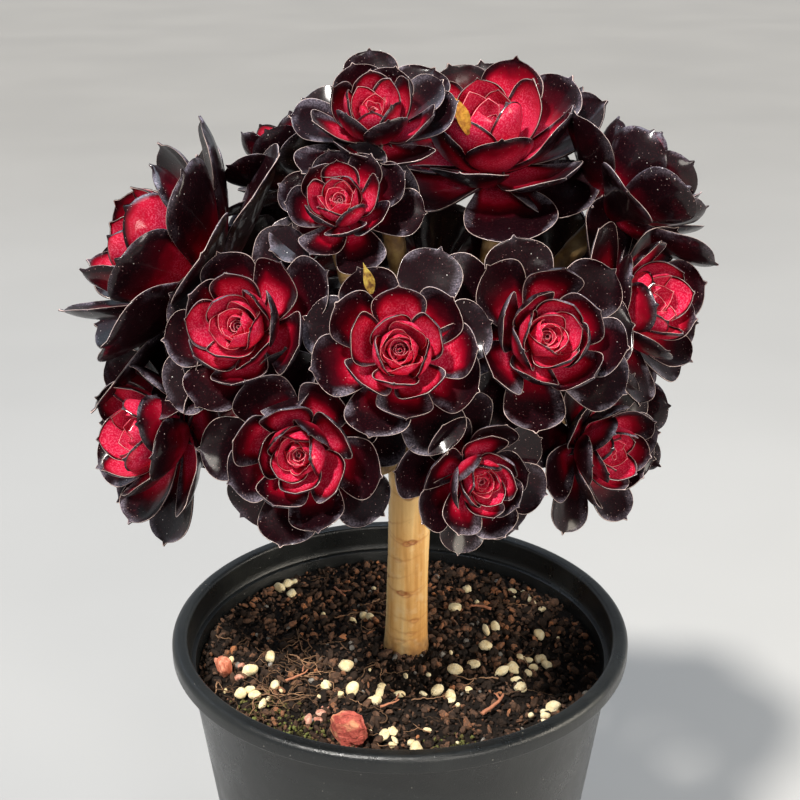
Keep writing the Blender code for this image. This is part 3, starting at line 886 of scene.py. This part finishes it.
def random_turns(rng, count):
    """Random rotations as count 3 by 3 arrays."""
    q = rng.normal(size=(count, 4))
    q /= np.linalg.norm(q, axis=1, keepdims=True)
    w, x, y, z = q.T
    rows = [
        [1 - 2 * (y * y + z * z), 2 * (x * y - z * w), 2 * (x * z + y * w)],
        [2 * (x * y + z * w), 1 - 2 * (x * x + z * z), 2 * (y * z - x * w)],
        [2 * (x * z - y * w), 2 * (y * z + x * w), 1 - 2 * (x * x + y * y)],
    ]
    return np.moveaxis(np.array(rows), -1, 0)


def spread(rng, count, reach, inside=0.0, weight=None):
    """Random places on the soil between two radii, thinned by a weight of radius and azimuth."""
    places = []
    while len(places) < count:
        r = math.sqrt(rng.uniform(inside**2, reach**2))
        a = rng.uniform(-math.pi, math.pi)
        if weight is None or rng.random() < weight(r, a):
            places.append((r * math.cos(a), r * math.sin(a)))
    return np.array(places)


def clusters(rng, table, reach):
    """Places in loose groups, from (azimuth, radius, spread, count) rows in degrees and metres."""
    places = []
    for azimuth, radius, loose, count in table:
        a = math.radians(azimuth)
        for _ in range(count):
            x = radius * math.cos(a) + rng.normal(0, loose)
            y = radius * math.sin(a) + rng.normal(0, loose)
            keep = min(1.0, reach / math.hypot(x, y))
            places.append((x * keep, y * keep))
    return np.array(places)


def apart(places, sizes):
    """Push lumps that overlap away from each other, a little at a time."""
    for _ in range(40):
        for i in range(len(places)):
            away = places[i] - places
            far = np.hypot(*away.T)
            far[i] = 1.0
            want = (sizes + sizes[i]) * 0.42
            close = far < want
            if close.any():
                push = away[close] / far[close, None] * (want - far)[close, None] * 0.5
                places[i] += push.sum(axis=0)
    return places


def scatter(name, slot, material, rng, places, sizes, level, soil_edge, sink=0.25, jag=0.22,
            squash=((0.45, 1.0), (0.45, 1.0)), swell=0.0, chance=None, smooth=False, loose=True):
    """Many rough lumps lying on the soil at the given places, joined into one piece."""
    base, faces = ball(level)
    count = len(places)
    size = np.exp(rng.uniform(np.log(sizes[0]), np.log(sizes[1]), count)) / 2
    if not loose:
        places = apart(places, size * 2)
    stretch = np.stack([np.ones(count)] + [rng.uniform(*pair, count) for pair in squash], axis=-1)
    bumps = 1 + rng.uniform(-jag, jag, (count, len(base)))
    if swell:
        for k in range(count):
            bumps[k] += swell * lumps(base, 0.9, 50 + k)
    verts = base[None] * bumps[..., None] * stretch[:, None] * size[:, None, None]
    turns = random_turns(rng, count)
    if not loose:
        flat = rng.uniform(0, math.tau, count)
        turns = np.array([
            Matrix.Rotation(a, 3, "Z") @ Matrix.Rotation(rng.normal(0, 0.35), 3, "Y") for a in flat
        ])
    verts = np.einsum("nij,nkj->nki", turns, verts)
    place = np.hstack([places, np.zeros((count, 1))])
    place[:, 2] = soil_edge + soil_surface(place) + size * (1 - 2 * sink) * stretch.min(axis=1)
    verts = verts + place[:, None]
    all_faces = copied_faces(faces, count, len(base))
    tones = rng.random(count) if chance is None else chance(place)
    values = {"chance": np.repeat(tones, len(base))}
    settle(make_object(name, verts.reshape(-1, 3), all_faces, material, values, smooth), slot)


def make_stone(name, node, slot, material, level, jag, seed, sink, cuts, keep, stretch=(1, 1, 1)):
    """A detailed lump in the place and size of a CAD lump, sunk a little into the soil.

    It is cut flat in a number of places, at about keep of its radius.
    """
    low, high = (np.array(corner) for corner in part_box(node))
    middle, half = (low + high) / 2, (high - low) / 2
    base, faces = ball(level)
    rough = 1 + jag * lumps(base, 0.9, seed) + jag * 0.5 * lumps(base, 0.35, seed + 1)
    rough += jag * 0.25 * lumps(base, 0.14, seed + 2)
    shape = base * rough[:, None]
    rng = np.random.default_rng(seed)
    for way in random_turns(rng, cuts)[:, 0]:
        over = np.maximum(shape @ way - rng.uniform(keep - 0.12, keep + 0.08), 0)
        shape = shape - 0.88 * over[:, None] * way
    shape /= np.abs(shape).max(axis=0)
    verts = middle + shape * half * np.array(stretch) - np.array([0, 0, sink])
    values = {"chance": np.full(len(verts), 0.5)}
    settle(make_object(name, verts, faces, material, values), slot, node)


def strand(line, thick, start, stop, sides):
    """A tube along a line that thins from one share of its thickness to another."""
    return tube(line, np.linspace(thick * start, thick * stop, len(line)), sides)


def crawl(rng, x, y, heading, steps, stride, soil_edge, reach, lift=0.0016, wander=0.35):
    """A line of points that wanders over the soil."""
    points = []
    for _ in range(steps):
        if math.hypot(x, y) > reach:
            break
        points.append((x, y, ground(x, y, soil_edge) + lift + 0.0010 * rng.random()))
        heading += rng.normal(0, wander)
        x += stride * math.cos(heading)
        y += stride * math.sin(heading)
    return points


ROOTLETS = 74
TANGLED = 34  # how many of the rootlets lie in the tangle
TANGLE = ((-0.052, 0.013), (-0.024, 0.015))  # its middle and its spread, in x and in y


def make_fibres(soil_edge, reach, material):
    """Thin branching rootlets on the soil, many of them in a tangle at the left."""
    rng = np.random.default_rng(77)
    parts = []
    for k in range(ROOTLETS):
        a, r = rng.uniform(-math.pi, math.pi), reach * math.sqrt(rng.uniform(0.05, 0.9))
        x, y = r * math.cos(a), r * math.sin(a)
        if k < TANGLED:
            x, y = (rng.normal(*pair) for pair in TANGLE)
        heading, steps = rng.uniform(0, math.tau), int(rng.integers(7, 22))
        line = crawl(rng, x, y, heading, steps, 0.0015, soil_edge, reach - 0.002)
        if len(line) < 5:
            continue
        thick = rng.uniform(0.00016, 0.00042)
        parts.append(strand(line, thick, 1.0, 0.45, 6))
        x, y, _ = line[len(line) // 2]
        heading, steps = heading + 1.1, steps // 2 + 3
        side = crawl(rng, x, y, heading, steps, 0.0013, soil_edge, reach - 0.002)
        if len(side) > 4:
            parts.append(strand(side, thick, 0.6, 0.3, 5))
    make_strands("rootlets", parts, rng.random(len(parts)), material)


# Twigs on the soil: azimuth, distance from the pot's axis, heading, number of steps and
# thickness, in degrees and metres.
TWIGS = [
    (-57, 0.068, 50, 11, 0.0010),
    (-150, 0.062, 35, 8, 0.0006),
    (38, 0.060, 160, 7, 0.0008),
    (120, 0.070, -60, 7, 0.0007),
    (-100, 0.052, 15, 6, 0.0006),
]


def make_twigs(soil_edge, reach, material):
    """A few red-brown twigs, with a broken side shoot on each."""
    rng = np.random.default_rng(78)
    parts = []
    for azimuth, radius, heading, steps, thick in TWIGS:
        a = math.radians(azimuth)
        x, y = radius * math.cos(a), radius * math.sin(a)
        way, side_way = math.radians(heading), math.radians(heading + 55)
        line = crawl(rng, x, y, way, steps, 0.0019, soil_edge, reach, 0.0034, 0.10)
        if len(line) < 4:
            continue
        parts.append(strand(line, thick, 1.0, 0.55, 8))
        x, y, _ = line[len(line) * 2 // 3]
        shoot = crawl(rng, x, y, side_way, 4, 0.0017, soil_edge, reach, 0.0044, 0.1)
        parts.append(strand(shoot, thick, 0.6, 0.3, 6))
    make_strands("twigs", parts, rng.uniform(0.55, 1.0, len(parts)), material)


# Loose groups of perlite, of pink grit and of moss tufts: azimuth in degrees, distance from
# the pot's axis, spread and number.
PERLITE_GROUPS = [
    (-84, 0.0265, 0.0006, 1),
    (-126, 0.034, 0.006, 3),
    (-98, 0.044, 0.007, 4),
    (-92, 0.068, 0.007, 5),
    (-78, 0.072, 0.006, 3),
    (-66, 0.042, 0.006, 3),
    (-38, 0.050, 0.008, 4),
    (-12, 0.064, 0.005, 5),
    (-38, 0.080, 0.005, 3),
    (-2, 0.044, 0.007, 3),
    (24, 0.068, 0.012, 4),
    (52, 0.058, 0.012, 3),
    (122, 0.032, 0.005, 3),
    (135, 0.083, 0.010, 4),
    (-172, 0.082, 0.005, 2),
    (-150, 0.082, 0.006, 5),
    (-165, 0.066, 0.006, 2),
]
PINK_GROUPS = [(-124, 0.068, 0.006, 4), (-107, 0.061, 0.004, 2), (-168, 0.078, 0.003, 2)]
MOSS_GROUPS = [
    (-71, 0.079, 0.0032, 90),
    (-125, 0.080, 0.009, 220),
    (-78, 0.078, 0.003, 30),
    (-145, 0.079, 0.006, 120),
]


def more_behind(r, a):
    """The share of bark bits kept at a radius and an azimuth: all of them behind the stem."""
    return 0.20 + 0.80 * (math.sin(a) > 0.2)


def make_ground(soil_edge, reach):
    """The soil and all that lies on it."""
    crumb = soil_material("soil_crumbs", [
        (0.02, (0.0090, 0.0062, 0.0048)),
        (0.40, (0.028, 0.017, 0.0115)),
        (0.64, (0.070, 0.040, 0.026)),
        (0.82, (0.150, 0.080, 0.050)),
        (0.94, (0.290, 0.125, 0.062)),
        (1.0, (0.480, 0.190, 0.080)),
    ])
    bed = soil_material("soil_bed", [(0.2, (0.006, 0.004, 0.003)), (0.8, (0.024, 0.015, 0.010))])
    rng = np.random.default_rng(11)
    make_soil_bed(soil_edge, reach + 0.001, bed)

    def tone(low, high):
        """Tones from low to high, brighter and redder round the back edge."""
        def draw(place):
            far = np.hypot(place[:, 0], place[:, 1])
            back = np.clip(place[:, 1] / 0.08, 0, 1) * np.clip(far / 0.08, 0, 1)
            return rng.uniform(low, high, len(place)) ** 1.15 * (1 - 0.25 * back) + 0.25 * back
        return draw

    def lay(name, material, places, sizes, level, slot="soil", **shape):
        scatter(name, slot, material, rng, places, sizes, level, soil_edge, **shape)

    fine = spread(rng, 5200, reach)
    lay("crumbs_fine", crumb, fine, (0.0012, 0.0030), 1, jag=0.30,
        squash=((0.35, 0.9), (0.3, 0.8)), chance=tone(0.0, 0.90))
    coarse = spread(rng, 1250, reach - 0.002)
    lay("crumbs_coarse", crumb, coarse, (0.0030, 0.0062), 2, sink=0.30, jag=0.13,
        squash=((0.35, 0.8), (0.25, 0.7)), swell=0.30, chance=tone(0.12, 0.92))
    tan = spread(rng, 260, reach - 0.002, 0.0, more_behind)
    lay("bark_bits", crumb, tan, (0.0028, 0.0060), 2, jag=0.10,
        squash=((0.35, 0.8), (0.25, 0.6)), swell=0.25, chance=tone(0.72, 1.0))
    white = grain_material("perlite_white", (0.86, 0.68, 0.37), (0.97, 0.87, 0.59))
    groups = clusters(rng, PERLITE_GROUPS, reach - 0.006)
    lay("perlite_grains", white, groups, (0.0040, 0.0082), 3, "perlite", sink=0.10, jag=0.012,
        squash=((0.45, 0.9), (0.5, 0.8)), swell=0.24, smooth=True, loose=False)
    dots = spread(rng, 26, reach - 0.006, 0.016)
    lay("perlite_dots", white, dots, (0.0018, 0.0032), 2, "perlite", sink=0.05, jag=0.03,
        squash=((0.6, 1.0), (0.6, 1.0)), smooth=True)
    stone = grain_material("grey_grit", (0.12, 0.11, 0.10), (0.34, 0.31, 0.27))
    grit = spread(rng, 46, reach - 0.003)
    lay("grit", stone, grit, (0.0020, 0.0042), 2, jag=0.06, swell=0.2,
        squash=((0.5, 0.9), (0.5, 0.8)))
    pink = grain_material("pink_grit", (0.50, 0.19, 0.13), (0.80, 0.48, 0.36))
    near_lava = clusters(rng, PINK_GROUPS, reach - 0.004)
    lay("pink_grit", pink, near_lava, (0.0034, 0.0058), 3, sink=0.10, jag=0.03,
        squash=((0.5, 0.9), (0.4, 0.7)), swell=0.35, smooth=True, loose=False)
    moss = soil_material("moss", [
        (0.1, (0.030, 0.026, 0.008)),
        (0.6, (0.12, 0.105, 0.033)),
        (0.95, (0.19, 0.21, 0.06)),
    ])
    tuft = clusters(rng, MOSS_GROUPS, reach - 0.002)
    lay("moss_tufts", moss, tuft, (0.0008, 0.0024), 1, sink=-0.05, jag=0.3)
    for name in PERLITE_NAMES:
        seed = int(name[-2:])
        make_stone(f"grain_{name}", name, "perlite", white, 4, 0.30, seed, 0.0010, 3, 0.80)
    lava = lava_material()
    make_stone("lava_stone", "lava_rock", "lava", lava, 5, 0.30, 31, 0.0022, 9, 0.70,
               (1.20, 1.10, 1.0))
    chip = grain_material("chip_bark", (0.42, 0.10, 0.05), (0.86, 0.36, 0.23), 0.0014,
                          (1.7, 1.7, 0.35))
    make_stone("chip_stone", "bark_chip", "bark_chip", chip, 5, 0.60, 41, 0.0006, 14, 0.55,
               (0.80, 0.62, 1.05))
    fibre = soil_material("rootlets", [(0.1, (0.07, 0.038, 0.020)), (0.9, (0.36, 0.205, 0.115))])
    make_fibres(soil_edge, reach, fibre)
    wood = soil_material("twig_wood", [(0.2, (0.20, 0.070, 0.035)), (0.9, (0.50, 0.21, 0.12))])
    make_twigs(soil_edge, reach, wood)


# ---- camera, light and floor

CAMERA_PLACE = (0.0, -0.5545, 0.3290)  # from the middle of the pot's rim
CAMERA_DOWN = 21.1  # degrees
LENS = 58.6  # millimetres, on a 36 mm wide sensor
SUNLIGHT = (0.46, 0.68, -1.22)  # the way it travels


def make_stage():
    """A pale grey floor, which isn't part of the plant."""
    s = Shader("studio_floor", specular=0.3)
    cloud = s.noise(0.6, 3.0)
    colour = s.mix(s.step(cloud, 0.3, 0.7, 0.0, 0.5), (0.36, 0.355, 0.345), (0.40, 0.395, 0.385))
    material = s.finish(colour, s.step(cloud, 0.3, 0.7, 0.6, 0.75), [(s.noise(0.01, 2.0), 0.0001)])
    verts = [(-9, -9, 0), (9, -9, 0), (9, 9, 0), (-9, 9, 0)]
    make_object("floor", verts, [(0, 1, 2, 3)], material)


def area_light(name, place, aim, size, power, colour):
    """A round light turned towards a point, with its width in metres and power in watts."""
    light = bpy.data.lights.new(name, "AREA")
    light.shape = "DISK"
    light.size = size
    light.energy = power
    light.color = colour
    ob = link(name, light)
    ob.location = place
    ob.rotation_euler = (Vector(aim) - Vector(place)).to_track_quat("-Z", "Y").to_euler()


def make_lights(crown, soil):
    """A soft sun from the upper left behind the camera, four round lights and a dim sky."""
    sun = bpy.data.lights.new("key", "SUN")
    sun.energy = 4.8
    sun.angle = math.radians(6)
    sun.color = (1.0, 0.965, 0.91)
    ob = link("key", sun)
    ob.rotation_euler = Vector(SUNLIGHT).to_track_quat("-Z", "Y").to_euler()
    area_light("sky", (0.0, 0.28, 1.80), crown, 1.05, 17, (0.74, 0.85, 1.0))
    area_light("glint", (-0.95, 1.0, 1.55), crown, 0.95, 3.0, (0.74, 0.84, 1.0))
    area_light("fill", (0.60, -1.45, 0.80), soil, 0.50, 10, (1.0, 0.94, 0.85))
    area_light("bounce", (1.25, -0.30, 0.60), soil, 0.60, 11, (1.0, 0.91, 0.76))
    world = bpy.data.worlds.new("studio")
    world.use_nodes = True
    tree = world.node_tree
    place = tree.nodes.new("ShaderNodeTexCoord")
    split = tree.nodes.new("ShaderNodeSeparateXYZ")
    band = tree.nodes.new("ShaderNodeValToRGB")
    tree.links.new(place.outputs["Generated"], split.inputs[0])
    tree.links.new(split.outputs["Z"], band.inputs[0])
    tree.links.new(band.outputs[0], tree.nodes["Background"].inputs[0])
    below, above = band.color_ramp.elements
    below.position, below.color = 0.22, (0.50, 0.53, 0.56, 1.0)
    above.position, above.color = 0.65, (0.085, 0.098, 0.120, 1.0)
    bpy.context.scene.world = world


def make_camera(rim_top):
    data = bpy.data.cameras.new("camera")
    data.lens = LENS
    data.sensor_width = 36.0
    ob = link("camera", data)
    x, y, z = CAMERA_PLACE
    ob.location = (x, y, rim_top + z)
    ob.rotation_euler = (math.radians(90 - CAMERA_DOWN), 0.0, 0.0)
    bpy.context.scene.camera = ob
    bpy.context.scene.view_settings.view_transform = "Standard"


def main():
    rim_top = float(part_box("pot")[1][2])
    make_camera(rim_top)
    places = rosette_places()
    soil_top = node_points("soil")
    soil_top = soil_top[soil_top[:, 2] > rim_top - SOIL_BELOW_RIM]
    soil_edge = float(np.median(soil_top[:, 2]))
    reach = float(np.hypot(*soil_top[:, :2].T).max())
    make_pot(pot_material())
    make_ground(soil_edge, reach)
    make_stem(soil_edge, bark_material())
    make_branches(places, branch_material())
    make_rosettes(places, leaf_material())
    make_dry_leaves(places, dry_leaf_material())
    make_stage()
    make_lights((0.0, 0.0, rim_top + 0.14), (0.0, 0.0, soil_edge))


main()
